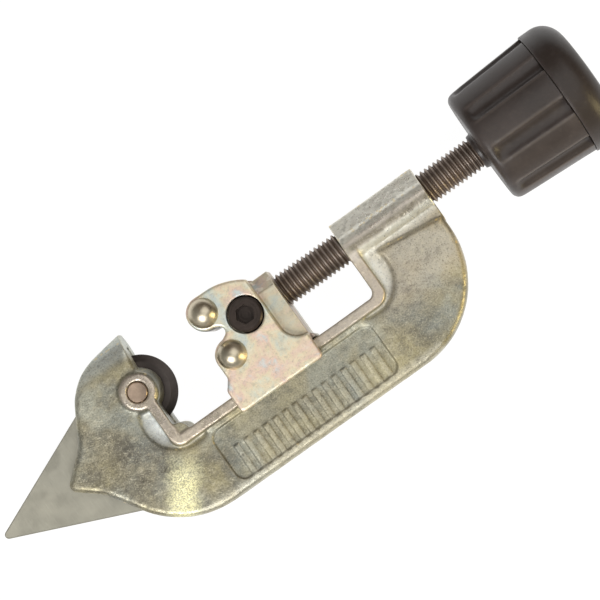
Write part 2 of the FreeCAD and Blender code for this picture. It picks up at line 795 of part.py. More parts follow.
def carriage_half(name, side):
    """One casting of the split carriage: a cheek outside the frame and half of the block inside it."""
    body = new_body(name)
    sign = "" if side > 0 else "- "
    rear = side < 0

    block = new_sketch(body, "block_outline", offset=f"{sign}half_gap")
    rectangle(block, "block_front_x", "block_back_x", "block_bottom_y", "block_top_y")
    pad(body, "block", block, "cheek_inner - half_gap", reverse=rear)

    bevel = new_sketch(body, "block_bevel", "YZ_Plane", "cheek_shoulder_x")
    outline(bevel, [
        ("block_bevel_y", f"{sign}cheek_inner"),
        ("block_top_y", f"{sign}block_bevel_z"),
        ("block_top_y + overrun", f"{sign}block_bevel_z"),
        ("block_top_y + overrun", f"{sign}cheek_inner"),
    ])
    pocket(body, "block_bevel_cut", bevel, "block_back_x - cheek_shoulder_x + overrun", reverse=True)

    cheek = new_sketch(body, "cheek_outline", offset=f"{sign}cheek_inner")
    outline(cheek, cheek_steps())
    pad(body, "cheek", cheek, "cheek_outer - cheek_inner", reverse=rear)
    outside = value("cheek_outer") * side
    dress(body, "Fillet", "cheek_edges", [level_at([outside])], Radius="cheek_edge_radius")

    foot = new_sketch(body, "foot_outline", offset=f"{sign}half_gap")
    outline(foot, [
        ("block_back_x - overrun", "block_bottom_y"),
        ("block_back_x + foot_length", "block_bottom_y"),
        ("block_back_x + foot_length", "block_bottom_y + foot_toe_height"),
        ("block_back_x", "foot_top_y"),
        ("block_back_x - overrun", "foot_top_y"),
    ])
    pad(body, "foot", foot, "foot_half", reverse=rear)

    cavity = new_sketch(body, "screw_tip_cavity")
    outline(cavity, [
        ("tip_pocket_front_x", "0"),
        ("block_back_x + overrun", "0"),
        ("block_back_x + overrun", "thread_bore_radius"),
        ("neck_bore_end_x", "thread_bore_radius"),
        ("neck_bore_end_x", "neck_bore_radius"),
        ("tip_pocket_back_x", "neck_bore_radius"),
        ("tip_pocket_back_x", "tip_pocket_radius"),
        ("tip_pocket_front_x", "tip_pocket_radius"),
    ])
    turn(body, "Groove", "screw_tip_pocket", cavity, "H_Axis")

    rivets = new_sketch(body, "rivet_holes")
    circle(rivets, "roller_x", "roller_y", "rivet_radius + fixed_gap")
    circle(rivets, "roller_x", "- roller_y", "rivet_radius + fixed_gap")
    pocket(body, "rivet_bores", rivets, "4 * cheek_outer", "Symmetric")

    hole = new_sketch(body, "cap_screw_hole")
    circle(hole, "cap_x", "0", "cap_radius + fixed_gap" if rear else "cap_hole_radius")
    if rear:
        pocket(body, "cap_screw_bore", hole, "cap_thread_depth")
    else:
        pocket(body, "cap_screw_bore", hole, "4 * cheek_outer", "Symmetric")
        seat = new_sketch(body, "cap_head_seat", offset="cheek_outer + overrun")
        circle(seat, "cap_x", "0", "cap_bore_radius")
        depth = "cheek_outer + overrun - cap_head_top + cap_head_height"
        pocket(body, "cap_head_counterbore", seat, depth)
    return body


def make_roller(name, y):
    body = new_body(name)
    section = new_sketch(body, "roller_section", "XZ_Plane")
    bore = "roller_x + rivet_radius + roller_clearance"
    outline(section, [
        (bore, "- roller_half"),
        ("roller_x + roller_radius - roller_chamfer", "- roller_half"),
        ("roller_x + roller_radius", "- roller_half + roller_chamfer"),
        ("roller_x + roller_radius", "- roller_groove_half"),
        ("roller_x + roller_groove_radius", "- roller_groove_half + roller_groove_slope"),
        ("roller_x + roller_groove_radius", "roller_groove_half - roller_groove_slope"),
        ("roller_x + roller_radius", "roller_groove_half"),
        ("roller_x + roller_radius", "roller_half - roller_chamfer"),
        ("roller_x + roller_radius - roller_chamfer", "roller_half"),
        (bore, "roller_half"),
    ])
    turn(body, "Revolution", "roller", section, sketch_axis(section, "roller_x"))
    body.setExpression(".Placement.Base.y", bound(y))
    return body


def make_rivet(name, y):
    """A roller's axle, riveted over the cheeks with a domed head at each end."""
    body = new_body(name)
    section = new_sketch(body, "rivet_section", "XZ_Plane")
    dome = "rivet_dome_radius"
    outline(section, [
        ("roller_x", "- cheek_outer - rivet_head_height"),
        ("roller_x + rivet_head_radius", "- cheek_outer", dome, 1),
        ("roller_x + rivet_radius", "- cheek_outer"),
        ("roller_x + rivet_radius", "cheek_outer"),
        ("roller_x + rivet_head_radius", "cheek_outer"),
        ("roller_x", "cheek_outer + rivet_head_height", dome, 1),
    ])
    turn(body, "Revolution", "rivet", section, sketch_axis(section, "roller_x"))
    body.setExpression(".Placement.Base.y", bound(y))
    return body


def make_cap_screw():
    """A hexagon socket cap screw, M6, with its head sunk in the front cheek."""
    body = new_body("carriage_cap_screw")
    low = "cap_head_top - cap_head_height"
    post(body, "head", "cap_x", "0", "cap_head_radius", low, "cap_head_height")
    dress(body, "Chamfer", "head_chamfer", [level_at([value("cap_head_top")])], Size="cap_head_chamfer")
    hexagon = new_sketch(body, "socket_hexagon", offset="cap_head_top")
    draw_hexagon(hexagon, "cap_x", "cap_socket_flats")
    pocket(body, "socket", hexagon, "cap_socket_depth")
    shank = new_sketch(body, "shank_circle", offset=low)
    circle(shank, "cap_x", "0", "cap_radius")
    pad(body, "shank", shank, "cap_length", reverse=True)
    return body


def draw_hexagon(sketch, x, flats):
    """A hexagon across its flats, centred on the sketch's level axis with two corners on it."""
    radius = value(flats) / math.sqrt(3)
    centre = FreeCAD.Vector(value(x), 0, 0)
    ring = sketch.addGeometry(Part.Circle(centre, FreeCAD.Vector(0, 0, 1), radius), True)
    index = sketch.addConstraint(Sketcher.Constraint("Radius", ring, radius))
    sketch.setExpression(f"Constraints[{index}]", f"{bound(flats)} / sqrt(3)")
    pin_point(sketch, ring, 3, x, "0")
    spokes = [math.radians(60 * step) for step in range(6)]
    corners = [centre + FreeCAD.Vector(math.cos(spoke), math.sin(spoke), 0) * radius for spoke in spokes]
    sides = [
        sketch.addGeometry(Part.LineSegment(corners[step - 1], corners[step]), False) for step in range(6)
    ]
    for step in range(6):
        sketch.addConstraint(Sketcher.Constraint("Coincident", sides[step - 1], 2, sides[step], 1))
        sketch.addConstraint(Sketcher.Constraint("PointOnObject", sides[step], 2, ring))
    for step in range(5):
        sketch.addConstraint(Sketcher.Constraint("Equal", sides[step], sides[step + 1]))
    sketch.addConstraint(Sketcher.Constraint("PointOnObject", sides[0], 2, -1))


def sketch_axis(sketch, x):
    """A construction line across the sketch, parallel to its upright axis, to turn a section about."""
    line = sketch.addGeometry(Part.LineSegment(
        FreeCAD.Vector(value(x), -20, 0), FreeCAD.Vector(value(x), 20, 0)), True)
    pin_point(sketch, line, 1, x, "- 20")
    pin_point(sketch, line, 2, x, "20")
    return "Axis0"


def make_thrust_disc():
    """The hardened disc that takes the feed screw's push in the carriage."""
    front = "thrust_disc_front_x"
    back = "thrust_disc_front_x + thrust_disc_thickness"
    return section_about_screw("thrust_disc", [
        (front, "0"), (back, "0"), (back, "thrust_disc_radius"), (front, "thrust_disc_radius"),
    ])


# ---------------------------------------------------------------- feed screw and knob
def make_feed_screw():
    """The screw to its major diameter: a trapped tip, a neck, the threaded length and the knob's shank."""
    return section_about_screw("feed_screw", [
        ("screw_tip_x", "0"),
        ("screw_end_x", "0"),
        ("screw_end_x", "screw_stud_radius"),
        ("screw_shank_end_x", "screw_stud_radius"),
        ("screw_shank_end_x", "screw_shank_radius"),
        ("screw_thread_end_x", "screw_shank_radius"),
        ("screw_thread_end_x", "screw_radius"),
        ("screw_neck_end_x + screw_chamfer", "screw_radius"),
        ("screw_neck_end_x", "screw_radius - screw_chamfer"),
        ("screw_neck_end_x", "screw_neck_radius"),
        ("screw_tip_end_x", "screw_neck_radius"),
        ("screw_tip_end_x", "screw_radius"),
        ("screw_tip_x + screw_chamfer", "screw_radius"),
        ("screw_tip_x", "screw_radius - screw_chamfer"),
    ])


def make_knob():
    body = section_about_screw("knob", [
        ("knob_collar_x", "knob_bore_radius"),
        ("knob_cavity_x", "knob_bore_radius"),
        ("knob_cavity_x", "knob_cavity_radius"),
        ("knob_joint_x", "knob_cavity_radius"),
        ("knob_joint_x", "knob_grip_end_radius"),
        ("knob_shoulder_x", "knob_shoulder_radius", "knob_shoulder_round"),
        ("knob_face_x", "knob_face_radius", "knob_face_round"),
        ("knob_face_x", "knob_collar_radius"),
        ("knob_collar_x", "knob_collar_radius"),
    ])
    start = new_sketch(body, "flute_start", "YZ_Plane", "flute_start_x")
    circle(start, "0", "flute_axis_low", "flute_radius")
    finish = new_sketch(body, "flute_finish", "YZ_Plane", "knob_joint_x + overrun")
    circle(finish, "0", "flute_axis_high", "flute_radius")
    flute = body.newObject("PartDesign::SubtractiveLoft", "flute")
    flute.Profile = start
    flute.Sections = [finish]
    doc.recompute()
    pattern = body.newObject("PartDesign::PolarPattern", "flutes")
    pattern.Originals = [flute]
    pattern.Axis = (origin_part(body, "X_Axis"), [""])
    pattern.Angle = 360
    drive(pattern, Occurrences="flute_count")
    body.Tip = pattern
    body.Placement.Rotation = FreeCAD.Rotation(FreeCAD.Vector(1, 0, 0), value("flute_turn"))
    body.setExpression(".Placement.Rotation.Angle", bound("flute_turn"))
    return body


def make_knob_cap():
    """The domed end of the knob, pressed into its cavity by a spigot."""
    return section_about_screw("knob_end_cap", [
        ("cap_hollow_x", "0"),
        ("dome_end_x", "0"),
        ("dome_rim_x", "dome_rim_radius", "dome_crown_radius", 1),
        ("cap_ring_end_x", "cap_ring_radius", "dome_corner_radius", 1),
        ("knob_joint_x + cap_ring_chamfer", "cap_ring_radius"),
        ("knob_joint_x", "cap_ring_radius - cap_ring_chamfer"),
        ("knob_joint_x", "spigot_radius"),
        ("spigot_x", "spigot_radius"),
        ("spigot_x", "spigot_inner_radius"),
        ("cap_hollow_x", "spigot_inner_radius"),
    ])


def make_knob_washer():
    back = "nut_start_x"
    front = "nut_start_x - washer_thickness"
    return section_about_screw("knob_washer", [
        (front, "screw_stud_radius + washer_gap"),
        (back, "screw_stud_radius + washer_gap"),
        (back, "washer_radius"),
        (front, "washer_radius"),
    ])


def make_knob_nut():
    body = new_body("knob_nut")
    hexagon = new_sketch(body, "nut_hexagon", "YZ_Plane", "nut_start_x")
    draw_hexagon(hexagon, "0", "nut_flats")
    pad(body, "nut", hexagon, "nut_thickness")
    bore = new_sketch(body, "nut_bore", "YZ_Plane", "nut_start_x - overrun")
    circle(bore, "0", "0", "screw_stud_radius + fixed_gap")
    pocket(body, "nut_thread", bore, "nut_thickness + 2 * overrun", reverse=True)
    return body


# ---------------------------------------------------------------- assembly
SUB_PARTS = [
    make_frame(),
    make_cutting_wheel(),
    make_wheel_pin(),
    make_reamer_blade(),
    make_reamer_pivot(),
    make_spring_washer(),
    carriage_half("carriage_front_half", 1),
    carriage_half("carriage_rear_half", -1),
    make_roller("upper_roller", "roller_y"),
    make_roller("lower_roller", "- roller_y"),
    make_rivet("upper_roller_rivet", "roller_y"),
    make_rivet("lower_roller_rivet", "- roller_y"),
    make_cap_screw(),
    make_thrust_disc(),
    make_feed_screw(),
    make_knob(),
    make_knob_cap(),
    make_knob_washer(),
    make_knob_nut(),
]
doc.recompute()

for item in doc.Objects:
    if "Invalid" in item.State or "Error" in item.State:
        raise RuntimeError(f"{item.Name}: {item.State}")
for part in SUB_PARTS:
    shape = part.Shape
    if shape.isNull() or not shape.isValid() or len(shape.Solids) != 1:
        raise RuntimeError(f"{part.Label} is not one valid solid")
for part in SUB_PARTS:
    part.Shape.exportStep(f"parts/{part.Label}.step")
    box = part.Shape.optimalBoundingBox()
    span = [box.XMin, box.XMax, box.YMin, box.YMax, box.ZMin, box.ZMax]
    print(f"{part.Label:24s} {part.Shape.Volume:10.1f} mm3", *(f"{edge:8.2f}" for edge in span))
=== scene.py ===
import math

import bmesh
import bpy
import numpy as np
from mathutils import Matrix, Vector, noise


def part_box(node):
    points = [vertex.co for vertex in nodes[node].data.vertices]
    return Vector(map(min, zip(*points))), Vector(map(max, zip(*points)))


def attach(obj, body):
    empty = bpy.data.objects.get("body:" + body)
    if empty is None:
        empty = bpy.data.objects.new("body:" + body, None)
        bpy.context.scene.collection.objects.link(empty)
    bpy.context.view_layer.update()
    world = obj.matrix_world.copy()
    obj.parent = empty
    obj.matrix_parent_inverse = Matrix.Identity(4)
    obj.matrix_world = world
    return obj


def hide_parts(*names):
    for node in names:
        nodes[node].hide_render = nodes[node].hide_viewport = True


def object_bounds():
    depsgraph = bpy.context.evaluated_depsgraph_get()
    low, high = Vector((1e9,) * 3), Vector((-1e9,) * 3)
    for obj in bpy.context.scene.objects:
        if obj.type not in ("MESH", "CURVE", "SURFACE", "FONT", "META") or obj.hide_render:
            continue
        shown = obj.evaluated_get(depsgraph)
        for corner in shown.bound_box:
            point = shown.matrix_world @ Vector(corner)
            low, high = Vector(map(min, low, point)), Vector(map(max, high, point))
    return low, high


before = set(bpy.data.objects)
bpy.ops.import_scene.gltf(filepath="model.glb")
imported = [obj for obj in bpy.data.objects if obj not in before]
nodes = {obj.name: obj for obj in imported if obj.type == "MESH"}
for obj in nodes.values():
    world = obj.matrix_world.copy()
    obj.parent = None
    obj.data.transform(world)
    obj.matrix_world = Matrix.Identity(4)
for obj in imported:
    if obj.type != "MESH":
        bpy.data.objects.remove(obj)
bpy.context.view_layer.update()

# Objects are in metres. Materials and mesh code work in millimetres: x runs from the cutting wheel to the
# knob, y from the spine to the open side of the jaw, and z through the thickness, from the middle plane.
MM = 0.001
SEAM_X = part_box("knob")[1].x / MM

# The frame casting's levels, as heights from its middle plane, and its two crescent hollows.
CRESCENT_FLOOR, PANEL_FLOOR, PLATE, RIM = 7.4, 8.0, 8.6, 9.5
CRESCENT_CENTRES = ((-12.75, -11), (51.05, -11))
CRESCENT_RADIUS = 10.5

# The knob's flutes, and the angle in degrees from +z to the middle of the first one.
FLUTES, FLUTE_TURN = 8, 16

# The feed screw's outline before and after its thread, as (x, radius) pairs, and the thread between them.
SCREW_HEAD = (
    (24.55, 0.0), (24.55, 4.3), (25.15, 4.99), (27.2, 4.99), (27.25, 4.9), (27.25, 3.5), (29.8, 3.5),
)
SCREW_TAIL = ((100.1, 4.5), (121.6, 4.5), (121.6, 4.0), (128.6, 4.0), (129.0, 3.6), (129.0, 0.0))
THREAD_PITCH, THREAD_ROOT, THREAD_CREST = 1.5, 4.1, 4.99
THREAD_SIDES, RINGS_PER_TURN = 56, 12

# How many rounds of smoothing run an edge together where the casting has none.
MELT_ROUNDS = 40


# ---------------------------------------------------------------- shader graphs
def rgb(*display):
    """A display colour, 0 to 255, as the linear colour that a shader takes."""
    linear = (c / 255 / 12.92 if c <= 10 else ((c / 255 + 0.055) / 1.055) ** 2.4 for c in display)
    return (*linear, 1)


class Finish:
    """A Principled material, and the few node moves that every finish here is built from.

    body is the colour so far. Shares go from 0 to 1, and sizes and places are in millimetres."""

    def __init__(self, name, **constants):
        self.material = bpy.data.materials.new(name)
        self.material.use_nodes = True
        self.tree = self.material.node_tree
        self.shader = self.tree.nodes["Principled BSDF"]
        for socket, number in constants.items():
            self.shader.inputs[socket.replace("_", " ").title().replace("Ior", "IOR")].default_value = number
        place = self.tree.nodes.new("ShaderNodeTexCoord").outputs["Object"]
        self.mm = self.vector("SCALE", place, scale=1 / MM)
        self.body = None

    def link(self, source, socket):
        if isinstance(source, bpy.types.NodeSocket):
            self.tree.links.new(source, socket)
        else:
            socket.default_value = source

    def vector(self, operation, first, second=None, scale=None):
        node = self.tree.nodes.new("ShaderNodeVectorMath")
        node.operation = operation
        self.link(first, node.inputs[0])
        if second is not None:
            self.link(second, node.inputs[1])
        if scale is not None:
            self.link(scale, node.inputs["Scale"])
        return node.outputs["Value" if operation in ("LENGTH", "DISTANCE", "DOT_PRODUCT") else "Vector"]

    def math(self, operation, first, second=0.0, third=0.0):
        node = self.tree.nodes.new("ShaderNodeMath")
        node.operation = operation
        for socket, source in zip(node.inputs, (first, second, third)):
            self.link(source, socket)
        return node.outputs[0]

    def times(self, first, *others):
        """The product of two or more values."""
        for other in others:
            first = self.math("MULTIPLY", first, other)
        return first

    def axis(self, index):
        node = self.tree.nodes.new("ShaderNodeSeparateXYZ")
        self.link(self.mm, node.inputs[0])
        return node.outputs[index]

    def noise(self, size, detail=4.0, rough=0.55, stretch=(1, 1, 1), shift=0.0, distort=0.0):
        """Fractal noise from 0 to 1, whose largest features are about `size` across."""
        node = self.tree.nodes.new("ShaderNodeTexNoise")
        place = self.vector("MULTIPLY", self.mm, tuple(1 / s for s in stretch))
        place = self.vector("ADD", place, (shift, shift * 0.7, -shift))
        self.link(place, node.inputs["Vector"])
        node.inputs["Scale"].default_value = 1 / size
        node.inputs["Detail"].default_value = detail
        node.inputs["Roughness"].default_value = rough
        node.inputs["Distortion"].default_value = distort
        return node.outputs["Fac"]

    def fade(self, source, low, high, out_low=0.0, out_high=1.0):
        """Goes smoothly from one level to another as the source goes from low to high."""
        node = self.tree.nodes.new("ShaderNodeMapRange")
        node.interpolation_type = "SMOOTHSTEP"
        self.link(source, node.inputs["Value"])
        for socket, number in zip(("From Min", "From Max", "To Min", "To Max"), (low, high, out_low, out_high)):
            node.inputs[socket].default_value = number
        return node.outputs["Result"]

    def band(self, source, low, first, last, high):
        """1 from first to last, falling smoothly to 0 at low and at high."""
        return self.times(self.fade(source, low, first), self.fade(source, high, last))

    def within(self, low, high, soft=1.0):
        """1 inside a rectangle on the plan, falling smoothly to 0 past its sides."""
        return self.times(*(
            self.band(self.axis(index), low[index] - soft, low[index], high[index], high[index] + soft)
            for index in (0, 1)
        ))

    def from_line(self, x, y):
        """Distance from an upright line."""
        flat = self.vector("MULTIPLY", self.mm, (1, 1, 0))
        return self.vector("DISTANCE", flat, (x, y, 0))

    def patch(self, x, y, radius):
        """1 up to a quarter of the radius from a place on the plan, falling smoothly to 0 at the radius."""
        return self.fade(self.from_line(x, y), radius, radius * 0.25)

    def pointed(self, low, high):
        """Goes from 0 to 1 with pointiness, which is 0.5 on flats, more on edges and less in corners."""
        return self.fade(self.tree.nodes.new("ShaderNodeNewGeometry").outputs["Pointiness"], low, high)

    def mix(self, share, first, second):
        node = self.tree.nodes.new("ShaderNodeMix")
        node.data_type = "RGBA"
        self.link(share, node.inputs["Factor"])
        self.link(first, node.inputs["A"])
        self.link(second, node.inputs["B"])
        return node.outputs["Result"]

    def ramp(self, source, stops):
        """Starts the body's colour with a ramp: (place, display colour) pairs."""
        node = self.tree.nodes.new("ShaderNodeValToRGB")
        self.link(source, node.inputs[0])
        elements = node.color_ramp.elements
        while len(elements) < len(stops):
            elements.new(0.5)
        for element, (place, display) in zip(elements, stops):
            element.position = place
            element.color = rgb(*display)
        self.body = node.outputs[0]

    def paint(self, share, *display):
        """Lays a display colour over the body's."""
        self.body = self.mix(share, self.body, rgb(*display))

    def surface(self, roughness, *layers):
        """Ends a finish: the body's colour, a roughness, and relief if there is any."""
        self.link(self.body, self.shader.inputs["Base Color"])
        self.link(roughness, self.shader.inputs["Roughness"])
        if layers:
            self.relief(*layers)

    def relief(self, *layers):
        """Bumps: (height from 0 to 1, depth) pairs, coarse first."""
        normal = None
        for height, depth in layers:
            node = self.tree.nodes.new("ShaderNodeBump")
            node.inputs["Distance"].default_value = depth * MM
            node.inputs["Strength"].default_value = 1.0
            self.link(height, node.inputs["Height"])
            if normal is not None:
                self.link(normal, node.inputs["Normal"])
            normal = node.outputs["Normal"]
        self.link(normal, self.shader.inputs["Normal"])


# ---------------------------------------------------------------- finishes
def zinc_frame():
    """Die-cast zinc with an olive passivated film: cloudy, speckled, smoother and pinker on the rim."""
    f = Finish("zinc_frame", metallic=0.7, specular_ior_level=0.5)
    x, y = f.axis(0), f.axis(1)
    height = f.math("ABSOLUTE", f.axis(2))
    clouds = f.noise(17, 6, 0.62, distort=0.3)
    stain = f.noise(8, 6, 0.68, shift=31)
    mottle = f.noise(2.2, 4, 0.65, shift=63)
    speck = f.noise(0.42, 2, 0.6)
    tint = f.noise(12, 3, 0.5, shift=77)

    # The film's clouds, its bluish and straw-coloured tints, and its dark stains.
    f.ramp(clouds, [
        (0.32, (110, 107, 96)), (0.44, (143, 138, 118)), (0.54, (164, 157, 131)), (0.70, (188, 181, 155)),
    ])
    f.paint(f.fade(tint, 0.44, 0.62, 0, 0.42), 156, 166, 166)
    f.paint(f.fade(tint, 0.46, 0.32, 0, 0.35), 176, 164, 116)
    f.paint(f.fade(stain, 0.50, 0.68, 0, 0.45), 96, 94, 86)

    # Darker patches: x, y, radius and strength.
    for patch_x, patch_y, radius, strength in (
        (-29, -20, 15, 0.95), (-35, -8, 11, 0.8), (-46, -14, 9, 0.5), (58, -26, 13, 0.6), (16, -30, 22, 0.3),
    ):
        darker_patch = f.times(f.patch(patch_x, patch_y, radius), f.fade(stain, 0.40, 0.62, 0.5, 1), strength)
        f.paint(darker_patch, 92, 88, 79)

    # Lighter places: the end by the knob and the spine, and a nearly white painted highlight on the boss
    # round the screw. The panel has painted shade on its sunk floor, and light bars.
    end = f.times(f.fade(x, 46, 60), f.fade(y, -30, -18))
    f.paint(f.times(end, 0.5), 202, 190, 172)
    boss = f.times(f.fade(x, 50, 55), f.fade(y, -8, -4))
    # A painted highlight on the boss round the screw.
    f.paint(f.times(boss, 0.85), 248, 247, 236)
    panel = f.within((-8, -38.2), (46.5, -22))
    # Painted shade on the panel's sunk floor.
    f.paint(f.times(panel, f.fade(height, PANEL_FLOOR + 0.2, PANEL_FLOOR, 0, 0.25)), 124, 126, 116)
    f.paint(f.times(panel, f.fade(height, PANEL_FLOOR + 0.1, PANEL_FLOOR + 0.28, 0, 0.3)), 190, 186, 166)
    spine = f.within((-30, -50), (60, -39.2), 2)
    f.paint(f.times(spine, 0.45), 212, 208, 190)

    # A nearly white painted highlight in the crescent hollows, the pale hook, and the pinker rim.
    hollow = f.math("MAXIMUM", *(f.patch(*centre, CRESCENT_RADIUS + 2.5) for centre in CRESCENT_CENTRES))
    sunk = f.band(height, CRESCENT_FLOOR - 0.8, CRESCENT_FLOOR - 0.4, CRESCENT_FLOOR + 0.1, PLATE - 0.25)
    hollow = f.times(hollow, sunk)
    f.paint(f.times(hollow, 0.88), 246, 250, 248)
    hook = f.times(f.fade(y, 8, 13), f.fade(height, PLATE + 0.15, PLATE - 0.6))
    f.paint(f.times(hook, 0.8), 218, 224, 218)
    rim = f.fade(height, PLATE + 0.25, RIM - 0.2)
    f.paint(f.times(rim, 0.62), 202, 188, 176)

    # Painted shade on the boss: a dark reflection along it and shade in its crease, both broken up by the
    # mottle.
    shade_band = f.band(y, -3.9, -2.4, -1.7, -0.3)
    crease_shade = f.band(y, 4.2, 5.1, 5.3, 6.2)
    boss_shade = f.math("MULTIPLY_ADD", shade_band, 0.85, f.times(crease_shade, 0.55))
    boss_shade = f.times(boss_shade, f.fade(x, 52, 56), f.fade(height, 6.5, 7), f.fade(mottle, 0.36, 0.56, 0.7, 1))
    f.paint(boss_shade, 104, 97, 80)

    # Mottle, pale specks, and dark pits, which are weaker on the pale rim and on the painted highlights.
    f.paint(f.fade(mottle, 0.50, 0.68, 0, 0.26), 200, 192, 168)
    f.paint(f.fade(mottle, 0.48, 0.34, 0, 0.34), 112, 108, 98)
    f.paint(f.fade(speck, 0.52, 0.72, 0, 0.4), 210, 203, 178)
    pale = f.math("MAXIMUM", f.math("MAXIMUM", boss, hollow), rim)
    f.paint(f.times(f.fade(speck, 0.47, 0.30, 0, 0.5), f.fade(pale, 0, 1, 1, 0.35)), 84, 80, 70)

    # A painted highlight: the sparkling band below the jaw, which crosses the plate aslant.
    across = f.vector("DOT_PRODUCT", f.mm, (0.81, -0.58, 0))
    along = f.vector("DOT_PRODUCT", f.mm, (0.58, 0.81, 0))
    drift = f.math("ADD", across, f.times(f.noise(4, 3, 0.5, shift=90), 5))
    glint = f.times(
        f.band(drift, -5.5, 1, 2.5, 8), f.fade(along, -25, -38), f.fade(speck, 0.38, 0.58, 0.35, 1),
        f.fade(height, 6.9, 7.6), 0.9,
    )
    f.paint(glint, 255, 249, 196)

    # Edges: painted highlights on them, a painted gold highlight at the knob's end, and painted shade in the
    # corners on the plate.
    f.paint(f.times(f.pointed(0.51, 0.58), 0.5), 236, 214, 160)
    gold_highlight = f.times(f.pointed(0.503, 0.53), f.fade(x, 62, 70, 0, 0.6), f.fade(y, -7, -10))
    f.paint(gold_highlight, 236, 208, 136)
    # Painted shade in the corners on the plate.
    corner = f.times(f.pointed(0.49, 0.44), f.fade(height, PLATE - 0.4, PLATE - 0.2))
    f.paint(f.times(corner, 0.25), 92, 88, 78)

    smoother = f.fade(f.math("MAXIMUM", rim, boss), 0, 1, 0, -0.1)
    rough = f.math("ADD", f.fade(clouds, 0.35, 0.7, 0.38, 0.52), smoother)
    rough = f.math("MULTIPLY_ADD", hollow, 0.2, rough)
    rough = f.math("ADD", rough, f.fade(mottle, 0.35, 0.65, 0.06, -0.06))
    f.surface(rough, (f.noise(7, 3, 0.5, shift=12), 0.22), (f.noise(1.8, 4, 0.6, shift=5), 0.12), (speck, 0.05))
    return f


def zinc_carriage():
    """Lighter satin zinc with a thin pastel film, painted shade away from its faces and in corners, highlights
    painted on edges.
    """
    f = Finish("zinc_carriage", metallic=0.6, specular_ior_level=0.5)
    height = f.math("ABSOLUTE", f.axis(2))
    film = f.noise(11, 8, 0.62, distort=0.3)
    mottle = f.noise(1.8, 4, 0.65, shift=14)
    speck = f.noise(0.55, 3, 0.7, shift=9)
    cloud = f.noise(9, 5, 0.65, shift=51)
    f.ramp(film, [
        (0.30, (188, 206, 214)), (0.42, (214, 216, 200)), (0.50, (228, 214, 184)),
        (0.58, (224, 198, 182)), (0.66, (200, 210, 212)), (0.78, (226, 216, 174)),
    ])
    f.paint(f.fade(cloud, 0.50, 0.72, 0, 0.4), 160, 152, 138)
    f.paint(f.fade(mottle, 0.50, 0.70, 0, 0.35), 232, 226, 208)
    f.paint(f.fade(mottle, 0.47, 0.32, 0, 0.35), 158, 152, 142)
    f.paint(f.fade(speck, 0.48, 0.30, 0, 0.35), 150, 142, 124)
    # Painted shade away from the two faces.
    f.paint(f.fade(height, 12.6, 11.4, 0, 0.3), 136, 132, 118)
    # Painted highlights on the edges, and painted shade in the corners.
    f.paint(f.times(f.pointed(0.51, 0.57), 0.4), 244, 238, 224)
    f.paint(f.times(f.pointed(0.49, 0.43), 0.35), 112, 104, 90)
    rough = f.fade(film, 0.3, 0.7, 0.34, 0.46)
    f.surface(rough, (f.noise(4, 3, 0.5, shift=3), 0.14), (mottle, 0.06), (speck, 0.03))
    return f


def moulded_plastic():
    """Brown-black moulded knob, semi-matte and faintly scuffed, with a darker cap."""
    f = Finish("moulded_plastic", metallic=0.0, specular_ior_level=0.45)
    x = f.axis(0)
    cloud = f.noise(16, 4, 0.6)
    grain = f.noise(0.35, 3, 0.6)
    scuff = f.noise(1.6, 6, 0.65, shift=21)
    f.ramp(cloud, [(0.3, (52, 45, 42)), (0.55, (60, 52, 49)), (0.75, (69, 60, 56))])
    f.paint(f.fade(x, SEAM_X - 0.5, SEAM_X + 1.5, 0, 0.85), 41, 32, 27)
    f.paint(f.fade(scuff, 0.50, 0.80, 0, 0.16), 96, 87, 80)

    # How far round it is from the middle of a flute, which is 0, to midway between two, which is 0.5.
    # The flutes have painted highlights on their lips and painted shade in their valleys, and end at the seam.
    angle = f.math("ARCTAN2", f.times(f.axis(1), -1), f.axis(2))
    flute = f.math("MULTIPLY_ADD", angle, FLUTES / (2 * math.pi), 0.5 - FLUTE_TURN / (360 / FLUTES))
    flute = f.math("ABSOLUTE", f.math("SUBTRACT", f.math("FRACT", flute), 0.5))
    fluted = f.fade(x, SEAM_X, SEAM_X - 0.3)
    lip_highlight = f.times(f.band(flute, 0.165, 0.20, 0.215, 0.27), f.fade(x, 103.5, 105.5), fluted)
    f.paint(f.times(lip_highlight, 0.3), 108, 99, 93)
    valley_shade = f.times(f.fade(flute, 0.17, 0.10), fluted)
    f.paint(f.times(valley_shade, 0.35), 40, 33, 30)

    rough = f.math("ADD", f.fade(cloud, 0.3, 0.7, 0.32, 0.44), f.fade(scuff, 0.5, 0.8, 0, 0.12))
    f.surface(rough, (f.noise(5, 3, 0.5, shift=4), 0.06), (grain, 0.012))
    return f


def toned(tone, share):
    """A display colour made darker or lighter."""
    return tuple(min(255, c * share) for c in tone)


def steel(name, tone, rough, metallic=0.95, spread=0.14, grain=(1, 1, 1), scratch=0.25, depth=0.01):
    """Worked steel: a tone that drifts by spread, fine marks along the grain, and dull patches.

    scratch is how much the marks show, and depth how deep they are, or 0 for none."""
    f = Finish(name, metallic=metallic)
    cloud = f.noise(6, 4, 0.6, shift=17)
    marks = f.noise(0.5, 4, 0.7, stretch=grain, shift=2)
    f.ramp(cloud, [(0.3, toned(tone, 1 - spread)), (0.5, tone), (0.72, toned(tone, 1 + spread))])
    f.paint(f.fade(marks, 0.55, 0.8, 0, scratch), *toned(tone, 1.35))
    f.paint(f.fade(marks, 0.45, 0.25, 0, scratch), *toned(tone, 0.66))
    dull = f.fade(cloud, 0.3, 0.7, rough - 0.05, rough + 0.06)
    f.surface(f.math("ADD", dull, f.fade(marks, 0.4, 0.8, 0, 0.05)))
    if depth:
        f.relief((marks, depth))
    return f


def turned_steel(name, centre, tone, rough, spacing, depth, **more):
    """Steel whose only relief is the fine rings that a lathe or grinder leaves about an upright axis."""
    f = steel(name, tone, rough, depth=0, **more)
    rings = f.math("SINE", f.times(f.from_line(centre.x / MM, centre.y / MM), 2 * math.pi / spacing))
    uneven = f.times(rings, f.noise(1.5, 3, 0.6, shift=40))
    f.relief((f.math("MULTIPLY_ADD", uneven, 0.5, 0.5), depth))
    return f


